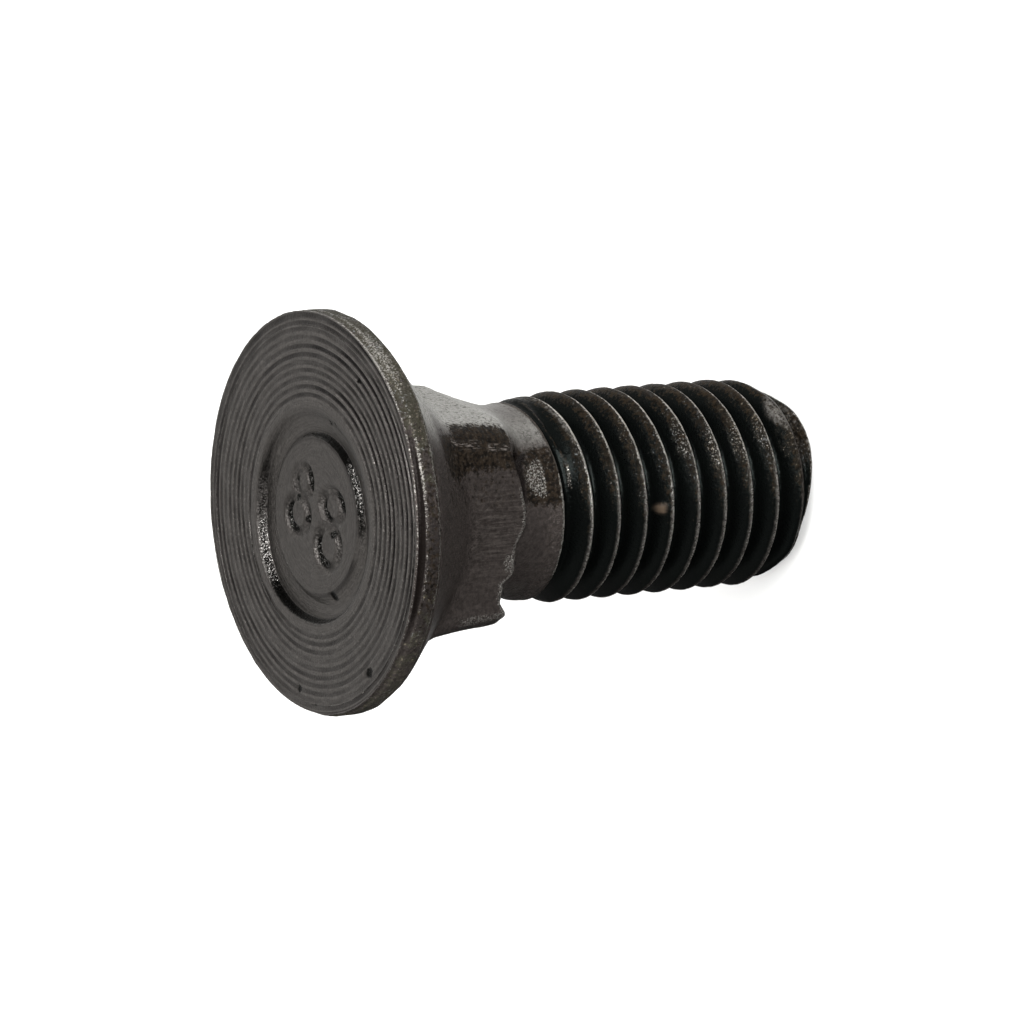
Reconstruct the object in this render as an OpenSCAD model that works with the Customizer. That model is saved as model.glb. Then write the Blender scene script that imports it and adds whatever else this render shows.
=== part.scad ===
// Countersunk bolt with a square neck, cold forged in one piece and then thread rolled.
// It stands on its threaded end with the head up, and the end face lies on z = 0.
// All sizes are in millimetres.

/* [Bolt] */
// overall length, head face to threaded end
bolt_length = 25; // [20:0.5:60]
// body that is drawn

/* [Head] */
// diameter over the rim
head_d = 18.9; // [16:0.1:20]
// width of the rolled edge round the flat face
edge_w = 0.2; // [0.05:0.05:0.6]
// height of the rolled edge between face and rim
edge_h = 0.25; // [0.05:0.05:0.6]
// height of the upright rim, rolled edge included
rim_h = 1; // [0.7:0.05:1.6]
// rounding between the rim and the countersink
rim_round = 0.12; // [0.02:0.02:0.3]
// included angle of the countersink
cone_angle = 90; // [82:1:100]
// radius that runs the cone out into the square neck
neck_fillet = 1.6; // [0.5:0.1:2.2]

/* [Pressed ring in the head face] */
// outer diameter of the ring at the face
ring_d = 10.04; // [8.6:0.02:10.4]
// depth of the ring floor under the face
ring_depth = 0.48; // [0.2:0.02:0.8]
// width of the outer slanted wall
ring_outer_wall = 0.25; // [0.05:0.01:0.4]
// diameter of the middle pad
pad_d = 7.16; // [5:0.02:7.6]
// drop of the middle pad under the face
pad_drop = 0.2; // [0:0.02:0.4]
// width of the slanted wall round the pad
pad_wall = 0.33; // [0.05:0.01:0.4]

/* [Turning marks in the head face] */
// plain band between the pressed ring and the innermost mark
mark_land = 0.56; // [0.2:0.02:1]
// distance from mark to mark
mark_pitch = 0.375; // [0.3:0.005:0.5]
// plain band between the outermost mark and the rolled edge
mark_margin = 0.15; // [0.1:0.01:1]
// width of one mark
mark_w = 0.15; // [0.06:0.01:0.2]
// depth of one mark
mark_depth = 0.045; // [0.02:0.005:0.1]

/* [Square neck] */
// width across the flats
neck_w = 9.8; // [9.6:0.1:11]
// radius of the four long corners
neck_corner_r = 1.3; // [0.4:0.1:2.5]
// distance from head face to the free end of the neck
neck_end = 8.1; // [6.5:0.1:11]

/* [Shank] */
// diameter of the plain shank
shank_d = 9.45; // [9.1:0.05:9.6]
// length of the plain shank between neck and thread
shank_len = 2.7; // [1.9:0.1:6]
// diameter of the slight waist under the neck
waist_d = 9.02; // [8.6:0.02:9.1]
// length of the waist before it widens
waist_len = 0.9; // [0.2:0.1:1]
// length of the taper from waist to shank
waist_taper = 0.9; // [0.2:0.1:1]

/* [Thread] */
// major diameter
thread_d = 9.85; // [9.7:0.01:10]
// pitch of the single right-hand thread
thread_pitch = 1.5; // [1.25:0.25:1.5]
// length over which the grooves fade out towards the shank
runout_len = 0.6; // [0.5:0.1:3]
// length of full shank size before the crests rise
crest_lead = 0.9; // [0:0.1:2]
// length over which the crests rise from shank size
crest_rise = 1.1; // [0.2:0.1:3]
// height of the first crest above the end at angle 0
thread_phase = 1.2175; // [0:0.05:1.5]
// diameter of the flat end face
end_d = 8.6; // [7:0.1:9.4]
// height of the tapered first turn
end_taper = 0.85; // [0.2:0.05:2]
// flats round one turn
thread_facets = 48; // [24:4:60]

/* [Finish] */
// colour of the blackened steel
steel_color = "#3c3b3a";

/* [Hidden] */
// rotated bodies are true circles, this only sets the preview
$fn = 80;
// shortest overlap where two bodies are joined
join = 0.05;

// head measures, heights counted from z = 0
face_z = bolt_length;
rim_z = face_z - rim_h;
face_r = head_d / 2 - edge_w;
cone_slope = tan(90 - cone_angle / 2);
cone_top_r = head_d / 2 - rim_round;
cone_top_z = rim_z - rim_round;
core_r = neck_w / 2;
// the cone leaves at this angle from upright, and the fillet turns it upright
cone_half = cone_angle / 2;
fillet_tangent = neck_fillet * tan(cone_half / 2);
cone_end_z = cone_top_z - (cone_top_r - core_r) * cone_slope;
fillet_steps = 6;

// neck and shank heights
neck_z = face_z - neck_end;
neck_rise = neck_w / 12;
neck_top_z = cone_top_z - (cone_top_r - core_r * sqrt(2)) * cone_slope + neck_rise;
waist_z = neck_z - waist_len;
shank_z = waist_z - waist_taper;
thread_len = neck_z - shank_len;

// turning marks, as many as the flat face has room for
mark_first_r = ring_d / 2 + mark_land;
mark_count = max(0, floor((face_r - mark_margin - mark_first_r) / mark_pitch) + 1);

// 60 degree thread profile
crest_w = thread_pitch / 8;
root_w = thread_pitch / 6;
thread_depth = 0.6134 * thread_pitch;
flank_w = (thread_pitch - crest_w - root_w) / 2;
crest_r = thread_d / 2;
// the faceted thread ends a hair inside the round shank
thread_skin = 0.02;
thread_top_r = shank_d / 2 - thread_skin;
thread_top_z = thread_len + shank_len / 4;
profile_steps = 6;

// One turning mark is a small notch with three corners.
function mark_points(n) =
    [for (i = [n - 1:-1:0]) for (side = [1:-1:-1])
        [mark_first_r + i * mark_pitch + side * mark_w / 2,
         face_z - (side == 0 ? mark_depth : 0)]];

// Round run-out between the cone and the upright neck.
function fillet_points() =
    [for (i = [0:fillet_steps])
        let (a = cone_half * (1 - i / fillet_steps))
        [core_r + neck_fillet * (1 - cos(a)),
         cone_end_z - fillet_tangent + neck_fillet * sin(a)]];

// Half section of the head, from the axis over the face, rim and cone to the neck.
function head_points() = concat(
    [[0, face_z - pad_drop],
     [0, cone_end_z - fillet_tangent - join],
     [core_r - join, cone_end_z - fillet_tangent - join]],
    [for (i = [fillet_steps:-1:0]) fillet_points()[i]],
    [[cone_top_r, cone_top_z],
     [head_d / 2, rim_z],
     [head_d / 2, face_z - edge_h],
     [face_r, face_z]],
    mark_count > 0 ? mark_points(mark_count) : [],
    [[ring_d / 2, face_z],
     [ring_d / 2 - ring_outer_wall, face_z - ring_depth],
     [pad_d / 2 + pad_wall, face_z - ring_depth],
     [pad_d / 2, face_z - pad_drop]]
);

// Distance of each profile corner from the crest, and its depth as a share of the whole.
function step_u(k) =
    k == 0 ? -crest_w / 2 :
    k == 1 ? crest_w / 2 :
    k == 2 ? crest_w / 2 + flank_w / 2 :
    k == 3 ? crest_w / 2 + flank_w :
    k == 4 ? crest_w / 2 + flank_w + root_w :
    crest_w / 2 + flank_w * 1.5 + root_w;
function step_share(k) = k < 2 ? 0 : (k == 3 || k == 4) ? 1 : 0.5;

// Depth share at any height inside one pitch, for the two end rings.
function share_at(u) =
    u < crest_w / 2 || u > thread_pitch - crest_w / 2 ? 0 :
    u < crest_w / 2 + flank_w ? (u - crest_w / 2) / flank_w :
    u < crest_w / 2 + flank_w + root_w ? 1 :
    (thread_pitch - crest_w / 2 - u) / flank_w;

// The grooves fade out towards the shank, and the crests come down to its size.
function unit(x) = min(1, max(0, x));
function ease(x) = unit(x) * unit(x) * (3 - 2 * unit(x));
function groove_at(z) = thread_depth * ease((thread_len - z) / runout_len);
function crest_at(z) =
    min(thread_top_r + (crest_r - thread_top_r) * ease((thread_len - crest_lead - z) / crest_rise),
        end_d / 2 + (crest_r - end_d / 2) * max(0, z) / end_taper);
function thread_r(z, share) =
    min(crest_at(z), crest_r - groove_at(z) * share - (crest_r - crest_at(max(z, end_taper))));
function wrap(u) = u - thread_pitch * floor(u / thread_pitch);

module head() {
    rotate_extrude()
        polygon(head_points());
}

module neck() {
    inner = neck_w - 2 * neck_corner_r;
    translate([0, 0, neck_z])
        linear_extrude(neck_top_z - neck_z)
            union() {
                square([neck_w, inner], center = true);
                square([inner, neck_w], center = true);
                for (sx = [-1, 1], sy = [-1, 1])
                    translate([sx * inner / 2, sy * inner / 2])
                        circle(r = neck_corner_r, $fn = 24);
            }
}

module shank() {
    rotate_extrude()
        polygon([
            [0, thread_len],
            [shank_d / 2, thread_len],
            [shank_d / 2, shank_z],
            [waist_d / 2, waist_z],
            [waist_d / 2, neck_z + join],
            [0, neck_z + join]
        ]);
}

// The thread is one closed skin whose rows follow the helix.
// Rows that would leave the end face or the shank stop on a flat ring there.
module thread() {
    n = thread_facets;
    turns = ceil(thread_top_z / thread_pitch) + 3;
    rows = turns * profile_steps;
    base = thread_phase - 2 * thread_pitch;

    function row_z(i, j) =
        base + thread_pitch * floor(i / profile_steps)
        + step_u(i % profile_steps) + thread_pitch * j / n;
    function ring_r(z, j) =
        thread_r(z, share_at(wrap(z - thread_phase - thread_pitch * j / n)));
    function spot(r, j, z) = [r * cos(360 * j / n), r * sin(360 * j / n), z];

    low = [for (j = [0:n - 1]) spot(ring_r(0, j), j, 0)];
    high = [for (j = [0:n - 1]) spot(thread_top_r, j, thread_top_z)];
    body = [for (i = [0:rows]) for (j = [0:n - 1])
        spot(thread_r(row_z(i, j), step_share(i % profile_steps)), j, row_z(i, j))];
    points = concat(low, high, body);

    // A row that reaches the seam goes on one pitch higher at the first column.
    function id(i, j) =
        row_z(i, j) <= join ? j % n :
        row_z(i, j) >= thread_top_z - join ? n + j % n :
        j == n ? 2 * n + (i + profile_steps) * n : 2 * n + i * n + j;

    skin = [for (i = [0:rows - profile_steps - 1]) for (j = [0:n - 1])
        let (a = id(i, j), b = id(i, j + 1), c = id(i + 1, j + 1), d = id(i + 1, j))
        for (t = [[a, c, b], [a, d, c]])
            if (t[0] != t[1] && t[1] != t[2] && t[2] != t[0]) t];
    low_cap = [[for (j = [0:n - 1]) j]];
    high_cap = [[for (j = [n - 1:-1:0]) n + j]];

    polyhedron(points = points, faces = concat(skin, low_cap, high_cap), convexity = 10);
}

module bolt() {
    color(steel_color)
        union() {
            head();
            neck();
            shank();
            thread();
        }
}

bolt();
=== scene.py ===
import math

import bpy
import numpy as np
from mathutils import Matrix, Vector, noise


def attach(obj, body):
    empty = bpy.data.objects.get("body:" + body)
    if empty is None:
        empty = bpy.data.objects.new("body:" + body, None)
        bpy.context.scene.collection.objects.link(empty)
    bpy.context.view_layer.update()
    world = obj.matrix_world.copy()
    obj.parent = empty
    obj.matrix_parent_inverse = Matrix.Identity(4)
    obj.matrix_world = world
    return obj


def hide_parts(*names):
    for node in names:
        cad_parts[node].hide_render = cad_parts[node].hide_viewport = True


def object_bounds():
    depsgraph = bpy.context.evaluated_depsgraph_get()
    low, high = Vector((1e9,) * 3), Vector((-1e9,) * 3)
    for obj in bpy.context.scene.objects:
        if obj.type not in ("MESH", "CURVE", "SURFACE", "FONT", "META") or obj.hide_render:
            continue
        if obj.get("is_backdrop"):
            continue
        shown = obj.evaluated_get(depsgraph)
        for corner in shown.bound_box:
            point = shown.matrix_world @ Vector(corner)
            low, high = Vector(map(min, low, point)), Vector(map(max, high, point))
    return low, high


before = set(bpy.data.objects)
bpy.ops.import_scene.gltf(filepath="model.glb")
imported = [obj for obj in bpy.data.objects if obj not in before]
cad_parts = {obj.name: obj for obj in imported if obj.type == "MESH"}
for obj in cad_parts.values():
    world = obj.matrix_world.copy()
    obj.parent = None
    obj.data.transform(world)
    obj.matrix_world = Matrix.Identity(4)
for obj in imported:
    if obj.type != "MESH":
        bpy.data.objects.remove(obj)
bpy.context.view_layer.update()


# View of the bolt
# A long lens looks down on the standing bolt from 33 degrees above the floor. The picture is
# turned a quarter so that the bolt lies across it, head on the left and nearer to the eye.
MM = 0.001
scene = bpy.context.scene
scene.view_settings.view_transform = "Standard"

lens_mm = 210.94
film_mm = 36.0
nearest_seen = 0.02
eye = Vector((71.006, -225.127, 165.746)) * MM
picture_right = Vector((0.08196, -0.53892, -0.83836))
picture_up = Vector((0.96344, 0.25815, -0.07176))
picture_back = Vector((0.25510, -0.80183, 0.54037))

camera_data = bpy.data.cameras.new("camera")
camera_data.lens = lens_mm
camera_data.sensor_width = film_mm
camera_data.clip_start = nearest_seen
camera = bpy.data.objects.new("camera", camera_data)
scene.collection.objects.link(camera)
turned_axes = Matrix((picture_right, picture_up, picture_back)).transposed()
camera.matrix_world = Matrix.Translation(eye) @ turned_axes.to_4x4()
scene.camera = camera


# Floor
# A plain pale sheet that the bolt stands on, wide enough to fill every view. It is matt paper
# white with no pattern.
floor_half = 4.0
paper_colour = (0.45, 0.45, 0.445, 1)
paper_glow_colour = (1, 1, 0.99, 1)
paper_glow = 0.45
paper_roughness = 0.9
paper_shine = 0.1
floor_mesh = bpy.data.meshes.new("floor")
floor_mesh.from_pydata(
    [(-floor_half, -floor_half, 0), (floor_half, -floor_half, 0),
     (floor_half, floor_half, 0), (-floor_half, floor_half, 0)],
    [], [(0, 1, 2, 3)])
floor = bpy.data.objects.new("floor", floor_mesh)
scene.collection.objects.link(floor)

paper = bpy.data.materials.new("pale_paper")
paper.use_nodes = True
paper_shader = paper.node_tree.nodes["Principled BSDF"]
paper_shader.inputs["Base Color"].default_value = paper_colour
paper_shader.inputs["Emission Color"].default_value = paper_glow_colour
paper_shader.inputs["Emission Strength"].default_value = paper_glow
paper_shader.inputs["Roughness"].default_value = paper_roughness
paper_shader.inputs["Specular IOR Level"].default_value = paper_shine
floor_mesh.materials.append(paper)
floor.visible_glossy = False
floor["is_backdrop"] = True


# Studio light
# The room is pale behind the bolt, over its upper side and above its head face, and dim
# elsewhere, so the dark steel has something to mirror. A long lamp over the eye and a small one
# beside it give the highlights, and a broad one that the steel doesn't mirror lights the floor.
bolt_middle = Vector((0, 0, 12.5)) * MM
behind_bolt = (0.38, 0.77, -0.51)
over_bolt = (0.963, 0.258, -0.07)
facing_head = (-0.255, 0.6, 0.75)
# Direction, angles in degrees where the glow is full and where it ends, brightness.
room_glows = (
    (behind_bolt, 14, 56, 1.3),
    (over_bolt, 10, 70, 0.55),
    (facing_head, 20, 85, 0.56),
)
room_dim = 0.035
room_colour = (1, 0.99, 0.97, 1)
room_seen = (0.93, 0.93, 0.92, 1)


def add(tree, kind, settings=(), **inputs):
    """A node with its settings, and its inputs either linked or set."""
    made = tree.nodes.new(kind)
    for name, value in dict(settings).items():
        setattr(made, name, value)
    for name, value in inputs.items():
        place = int(name[1:]) if name[1:].isdigit() else name.replace("_", " ")
        if isinstance(value, bpy.types.NodeSocket):
            tree.links.new(value, made.inputs[place])
        else:
            made.inputs[place].default_value = value
    return made


def calc(tree, kind, one, two, clamp=True):
    """A math node of two numbers."""
    return add(tree, "ShaderNodeMath", {"operation": kind, "use_clamp": clamp},
               _0=one, _1=two).outputs[0]


def remap(tree, value, low, high, to_low=0.0, to_high=1.0):
    """A number spread smoothly from one range to another."""
    return add(tree, "ShaderNodeMapRange", {"interpolation_type": "SMOOTHSTEP"}, Value=value,
               From_Min=low, From_Max=high, To_Min=to_low, To_Max=to_high).outputs["Result"]


room = bpy.data.worlds.new("pale_room")
scene.world = room
room.use_nodes = True
room_tree = room.node_tree
ray_way = room_tree.nodes.new("ShaderNodeTexCoord").outputs["Generated"]
brightness = room_dim
for direction, full_angle, none_angle, strength in room_glows:
    facing = add(room_tree, "ShaderNodeVectorMath", {"operation": "DOT_PRODUCT"}, _0=ray_way,
                 _1=Vector(direction).normalized()).outputs["Value"]
    glow = remap(room_tree, facing, math.cos(math.radians(none_angle)),
                 math.cos(math.radians(full_angle)), 0.0, strength)
    brightness = calc(room_tree, "ADD", glow, brightness, False)
lit_room = room_tree.nodes["Background"]
lit_room.inputs["Color"].default_value = room_colour
room_tree.links.new(brightness, lit_room.inputs["Strength"])
seen_room = add(room_tree, "ShaderNodeBackground", Color=room_seen)
seen_by_eye = room_tree.nodes.new("ShaderNodeLightPath").outputs["Is Camera Ray"]
either_room = add(room_tree, "ShaderNodeMixShader", Fac=seen_by_eye, _1=lit_room.outputs[0],
                  _2=seen_room.outputs[0])
room_tree.links.new(either_room.outputs[0], room_tree.nodes["World Output"].inputs["Surface"])

# Name, direction from the bolt, distance, length and width in metres, power in watts, direction
# of the long side, and whether the steel mirrors the lamp.
lamps = (
    ("over_eye", (0.47, -0.62, 0.48), 0.9, 1, 0.16, 12, (0.035, 0.725, 0.821), True),
    ("beside_eye", (0.4, -0.91, 0.06), 0.9, 0.16, 0.12, 1.6, (0, 0, 1), True),
    ("floor_light", (0.15, 0, 1), 1.6, 2.2, 2.2, 70, (1, 0, 0), False),
)
for name, direction, distance, length, width, power, along, mirrored in lamps:
    lamp_data = bpy.data.lights.new(name, "AREA")
    lamp_data.shape = "RECTANGLE"
    lamp_data.size = length
    lamp_data.size_y = width
    lamp_data.energy = power
    lamp = bpy.data.objects.new(name, lamp_data)
    lamp.visible_camera = False
    lamp.visible_glossy = mirrored
    scene.collection.objects.link(lamp)
    towards = Vector(direction).normalized()
    side = Vector(along).normalized()
    side = (side - side.dot(towards) * towards).normalized()
    axes = Matrix((side, towards.cross(side), towards)).transposed()
    lamp.matrix_world = Matrix.Translation(bolt_middle + towards * distance) @ axes.to_4x4()


# Head of the bolt
# A flat countersunk head, upset from the bar in a forging press and faced on a lathe. The
# press left a ring round a raised pad, and the lathe tool left shallow turning marks.
# Distances named deep are counted from the head face towards the thread.
bolt_length = 25.0
columns = 240
turn = 360.0 * np.arange(columns) / columns
turn_cos, turn_sin = np.cos(np.radians(turn)), np.sin(np.radians(turn))
# Masks of the skin. Besides real wear, oil, dust and pale steel they carry painted highlights,
# painted sheen and painted shade. The darkening mask is painted shade in recesses and on walls,
# and it also darkens a band of the shank.
finishes = ("wear", "oil", "brown", "dust", "drag", "groove", "scale", "pale", "lint")
rings = []


def ease(x):
    """Smooth step from 0 to 1."""
    x = np.clip(x, 0.0, 1.0)
    return x * x * (3 - 2 * x)


def around(stops, soft=3):
    """A value for each column that passes through (degrees, value) stops all round the bolt."""
    angles, values = zip(*stops)
    line = np.interp(turn, angles, values, period=360)
    for _ in range(soft):
        line = (np.roll(line, 1) + 2 * line + np.roll(line, -1)) / 4
    return line


def turned_from(angle):
    """Degrees from an angle to each column, the shorter way round the bolt."""
    return (turn - angle + 180) % 360 - 180


def beside(angle, width):
    """1 at an angle round the bolt, and 0 from width degrees away."""
    return ease(1 - np.abs(turned_from(angle)) / width)


def spot(deep, middle_deep, half_deep, middle_turn, half_turn):
    """1 in the middle of an oval place on the bolt's side, and 0 outside it."""
    along, round_it = (deep - middle_deep) / half_deep, turned_from(middle_turn) / half_turn
    return ease(1.6 * (1 - np.sqrt(along ** 2 + round_it ** 2)))


def wave(times, shift=0):
    """A wave that runs so many times round the bolt."""
    return np.sin(np.radians(times * turn + shift))


def lay(radius, deep, **finish):
    """One ring of the skin."""
    ring = {"radius": radius + 0 * turn, "height": bolt_length - deep + 0 * turn}
    for name in finishes:
        ring[name] = finish.get(name, 0) + 0 * turn
    rings.append(ring)


pad_r = 3.58
pad_deep = 0.2
pad_foot_r = 3.91
ring_deep = 0.48
ring_foot_r = 4.79
ring_r = 5.02

# Loops of the strength figures: place across and along, half width, half height, lean, and how
# deep the stroke goes and how much painted shade it gets low left and high right.
figure_loops = (
    (1.25, 1.36, 0.64, 0.66, -16, 0.35, 1), (-0.322, 1.591, 0.86, 0.84, -16, 1, 0.55),
    (0.742, -1.303, 0.84, 0.7, -7, 0.75, 0.85), (-1.127, -1.202, 0.93, 0.94, -7, 1, 0.6),
)
stroke_half = 0.42
stroke_deep = 0.24
loop_floor_deep = 0.07
dent_deep = 0.12
# Small dents round the figures, painted dark as shade: across, along, half size, how dark.
pad_dents = (
    (1.56, 0.84, 0.34, 0.9), (0.4, 1.8, 0.3, 0.8), (-0.38, 0.82, 0.34, 0.8),
    (1.25, 2, 0.25, 0.6), (0.95, -2.1, 0.36, 0.7), (-0.52, -1.45, 0.3, 1),
    (0.25, -0.95, 0.34, 1), (0.74, -0.55, 0.26, 0.8), (0, 1.75, 0.24, 0.5),
)


def figure_depth(x, y):
    """How far the stamped figures go into the pad at x, y, and how much painted shade they get.
    """
    deepest, scorched = np.zeros_like(x), np.zeros_like(x)
    for loop_x, loop_y, half_w, half_h, lean, low_left, high_right in figure_loops:
        up_x, up_y = math.cos(math.radians(lean)), math.sin(math.radians(lean))
        along = ((x - loop_x) * up_x + (y - loop_y) * up_y) / half_h
        across = ((x - loop_x) * up_y - (y - loop_y) * up_x) / half_w
        reach = np.sqrt(along ** 2 + across ** 2)
        away = np.abs(reach - 1) * (half_w + half_h) / 2
        slant = (-along - across) / np.maximum(reach, 0.2) / 1.4
        heavy = np.clip(np.where(slant > 0, low_left * slant, -high_right * slant), 0, 1)
        inside = loop_floor_deep * ease(1.3 * (1 - reach))
        stroke = ease(1.15 * (1 - away / stroke_half)) * (0.5 + 0.8 * heavy)
        deepest = np.maximum(deepest, np.maximum(stroke * stroke_deep, inside))
        scorched = np.maximum(scorched, stroke * heavy)
    for dent_x, dent_y, half, dark in pad_dents:
        near = dark * ease(1.5 * (1 - np.hypot(x - dent_x, y - dent_y) / half))
        deepest = np.maximum(deepest, dent_deep * near)
        scorched = np.maximum(scorched, near)
    return deepest, scorched


pad_rows = 46
for row in range(1, pad_rows + 1):
    radius = pad_r * row / (pad_rows + 1.5)
    sunk, scorched = figure_depth(radius * turn_cos, radius * turn_sin)
    sunk = sunk * ease((pad_r - radius) / 0.4)
    # The figures' shade is painted dark with a few painted highlights in it, and the sunk strokes
    # are painted darker as shade.
    lay(radius, pad_deep + sunk, oil=0.8 * ease((scorched - 0.15) / 0.7),
        wear=0.2 * ease((scorched - 0.35) / 0.5), groove=0.1 + 0.3 * ease(sunk / stroke_deep),
        scale=0.05 + 0.6 * ease(sunk / 0.2))

# The wall round the pad is crisp, and soft where the punch left it. Its upper side is painted
# dark as shade, a thin line along its top edge is painted shade, and its bright flecks are
# painted highlights.
pad_soft = around([
    (-180, 0.3), (-150, 0.8), (-120, 1), (-95, 0.5), (-75, 0), (20, 0), (60, 0.2),
    (150, 0.2)], 6)
pad_dark = around([
    (-180, 0), (-97, 0), (-91, 0.5), (-80, 0.75), (-28, 1), (5, 0.8), (30, 0.5), (50, 0.1),
    (70, 0), (150, 0)], 3)
pad_line = around([
    (-190, 0), (-170, 0.5), (-112, 0.8), (-104, 0), (20, 0), (40, 0.5), (80, 0.4), (110, 0)], 2)
pad_bright = around([
    (-86, 0), (-77, 0.12), (-70, 0.27), (-60, 0.33), (-42, 0.33), (-35, 0.2), (-29, 0)], 1)
pad_wall_spread = 0.45
# Share of the way out, share of the way down, and how much of the ring is wall.
pad_wall = ((-0.1, 0, 0), (0.02, 0.012, 0), (0.15, 0.07, 0.75), (0.5, 0.5, 1),
            (0.85, 0.93, 0.7), (1, 1, 0))
for share, drop, on_wall in pad_wall:
    wide = pad_wall_spread * pad_soft * max(share, 0)
    on_line = abs(share - 0.08) < 0.1
    # Painted shade and painted highlights on the wall.
    lay(pad_r + (pad_foot_r - pad_r) * share + wide, pad_deep + (ring_deep - pad_deep) * drop,
        oil=pad_dark * on_wall, scale=on_wall * (0.1 + pad_bright), wear=pad_bright * on_wall,
        groove=0.6 * pad_dark * (1 - on_wall) + pad_line * on_line)

# The outer wall is deep on the lower side and fades into the face on the upper side. It is
# painted dark as shade in places, with a soft painted shade that reaches onto the floor before
# it, and its bright flecks are painted highlights.
crisp = around([
    (-195, 1), (-165, 0.9), (-140, 0.7), (-110, 0.4), (-60, 0.25), (0, 0.2), (35, 0.3),
    (65, 0.6), (90, 1), (120, 1), (150, 1)], 8)
wall_dark = around([
    (-165, 1), (-150, 0.7), (-130, 0), (80, 0), (100, 0.6), (138, 0.8), (150, 1),
    (180, 1)], 4)
wall_soft = around([
    (-160, 0.3), (-130, 0.2), (20, 0.1), (40, 0.15), (60, 0.2), (80, 0.25), (100, 0.3),
    (130, 0.3), (180, 0.3)], 4)
wall_bright = around([
    (80, 0), (88, 0.1), (100, 0.12), (110, 0.32), (134, 0.38), (142, 0.2), (152, 0.08),
    (160, 0)], 1)
floor_deep = ring_deep * (0.45 + 0.55 * crisp)
ring_bulge = 0.27 * beside(138, 48)
wall_foot = ring_foot_r - 0.45 * (1 - crisp) + 0.9 * ring_bulge
wall_top = ring_r + 0.08 * (1 - crisp) + ring_bulge
foot_r = pad_foot_r + pad_wall_spread * pad_soft
for share in (0.25, 0.5, 0.75, 0.93):
    lay(foot_r + (wall_foot - foot_r) * share, ring_deep + (floor_deep - ring_deep) * share,
        scale=0.1, groove=wall_soft * ease((share - 0.6) / 0.5))
# Share of the way out, share of the way up, and how much of the ring is wall.
outer_wall = ((0, 0, 0.2), (0.18, 0.08, 0.8), (0.4, 0.42, 1), (0.62, 0.78, 0.85),
              (0.84, 0.97, 0.45), (1, 1, 0))
for share, rise, on_wall in outer_wall:
    # Painted shade and painted highlights on the outer wall.
    shaded = np.maximum(wall_soft, 0.6 * wall_dark * (share < 0.1))
    lay(wall_foot + (wall_top - wall_foot) * share, floor_deep * (1 - rise),
        oil=wall_dark * on_wall, scale=on_wall * (0.1 + 1.5 * wall_bright),
        wear=wall_bright * on_wall, groove=shaded * (1 - 0.8 * ease((share - 0.7) / 0.3)))

# Turning marks, as deep as the tool bit at each side, painted dark inside as shade, with a
# painted highlight on the lip.
mark_radii = (5.58, 5.94, 6.33, 6.7, 7.07, 7.45, 7.83, 8.22, 8.58, 8.86, 9.16)
mark_deep = 0.075
mark_land = 0.18
mark_strength = around([
    (-140, 0.3), (-118, 0.28), (-100, 0.7), (-80, 1), (-30, 1.1), (-5, 0.7), (20, 0.4),
    (60, 0.35), (100, 0.5), (150, 0.5), (190, 0.35)], 6)
# Distance from the middle of a mark, depth as a share, which also sets the painted shade, and
# how bright the painted highlight on the lip is.
mark_section = ((-0.145, 0, 0.5), (-0.075, 1, 0), (0.065, 1, 0), (0.13, 0, 1))
# The face ends nearer the axis where the rim was knocked.
face_edge_r = around([
    (178, 9.14), (155, 9.16), (125, 9.24), (100, 9.27), (60, 9.36), (15, 9.34), (-20, 9.27),
    (-45, 9.25), (-52, 9.24), (-60, 9.12), (-69, 9.03), (-78, 8.98), (-95, 8.98), (-104, 9.05),
    (-114, 9.12), (-132, 9.2), (-150, 9.24)], 3)
for land_r, bulge_share in ((5.2, 0.75), (5.36, 0.6)):
    lay(land_r + bulge_share * ring_bulge, 0, scale=0.2)
for number, mark_r in enumerate(mark_radii):
    outermost = number == len(mark_radii) - 1
    uneven = (0.8 + 0.25 * wave(2, 77 * number) + 0.2 * wave(5, 131 * number)
              + 0.16 * wave(23, 57 * number))
    wander = 0.02 * wave(1, 50 * number) + 0.008 * wave(9)
    cap = face_edge_r - (0.06 if outermost else 0.1)
    kept = ease((face_edge_r - 9.12) / 0.1) if outermost else 1
    for step, share, lip in mark_section:
        radius = mark_r + step + wander + 0.5 * ring_bulge * (number == 0)
        # Painted shade in the mark and a painted highlight on its lip.
        lay(np.minimum(radius, cap + 0.1 * step),
            mark_deep * share * mark_strength * uneven * kept,
            groove=share * (0.3 + 0.8 * mark_strength) * uneven * kept, scale=0.25,
            pale=lip * mark_strength ** 2 * uneven * kept)
    if number < len(mark_radii) - 2:
        lay(mark_r + mark_land, 0, scale=0.25)
face_rings = len(rings)

# Small pits in the face: distance from the axis, angle, half size, depth.
face_pits = ((8.2, -135, 0.4, 0.1), (8.25, 180, 0.3, 0.06), (3.8, -150, 0.34, 0.1),
             (4.62, -8, 0.2, 0.04), (4.78, -15, 0.18, 0.04), (7.75, -23, 0.22, 0.05))
for pit_r, pit_turn, half, pit_deep in face_pits:
    pit_x = pit_r * math.cos(math.radians(pit_turn))
    pit_y = pit_r * math.sin(math.radians(pit_turn))
    for ring in rings:
        from_pit = np.hypot(ring["radius"] * turn_cos - pit_x, ring["radius"] * turn_sin - pit_y)
        hit = ease(1.5 * (1 - from_pit / half))
        ring["height"] -= pit_deep * hit
        ring["oil"] = np.maximum(ring["oil"], hit)

# Rolled edge, rim with its shallow groove, and the sharp corner where the cone starts.
ridge_r = around([
    (-145, 9.36), (-165, 9.32), (178, 9.24), (155, 9.25), (125, 9.32), (100, 9.36), (20, 9.36),
    (0, 9.39), (-15, 9.43), (-30, 9.48), (-45, 9.5), (-55, 9.43), (-65, 9.36)], 3)
rim_wave = 0.02 * wave(3, 40) + 0.015 * wave(7)
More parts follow.
